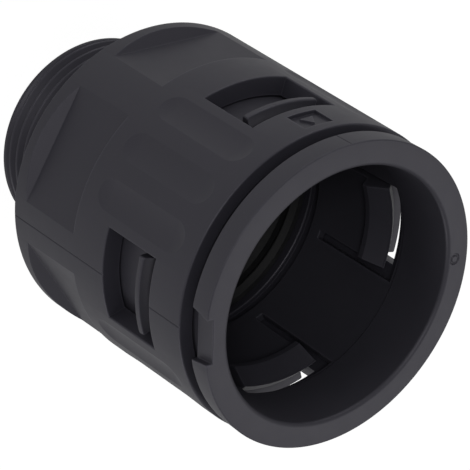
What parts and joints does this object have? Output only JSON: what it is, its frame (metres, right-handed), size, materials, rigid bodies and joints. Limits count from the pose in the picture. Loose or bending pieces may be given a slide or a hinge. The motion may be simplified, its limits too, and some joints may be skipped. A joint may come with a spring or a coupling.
{
  "type": "liquidtight conduit connector",
  "caption": "Round push-in connector that seals a corrugated conduit and screws into a box by its short metric thread, with a sliding locking ring.",
  "frame": {"origin": "centre of the thread's end face, which the part stands on", "axes": "+Z along the common axis towards the conduit's opening, +X through the window that has the square recess in front of it, +Y through the ring's screwdriver notch"},
  "size_m": [0.037, 0.037, 0.0476],
  "materials": {
    "body_plastic": "satin moulded polyamide with a fine grain, almost black",
    "ring_plastic": "satin moulded polyamide, slightly lighter than the body",
    "seal_rubber": "matt black rubber"
  },
  "bodies": {
    "connector_body": {"body": "body_plastic", "conduit_seal": "seal_rubber"},
    "ring": {"locking_ring": "ring_plastic"}
  },
  "joints": [
    {"name": "ring_slide", "type": "slide", "parent": "connector_body", "child": "ring", "axis": [0, 0, 1], "range_m": [-0.0014, 0.0017]}
  ]
}
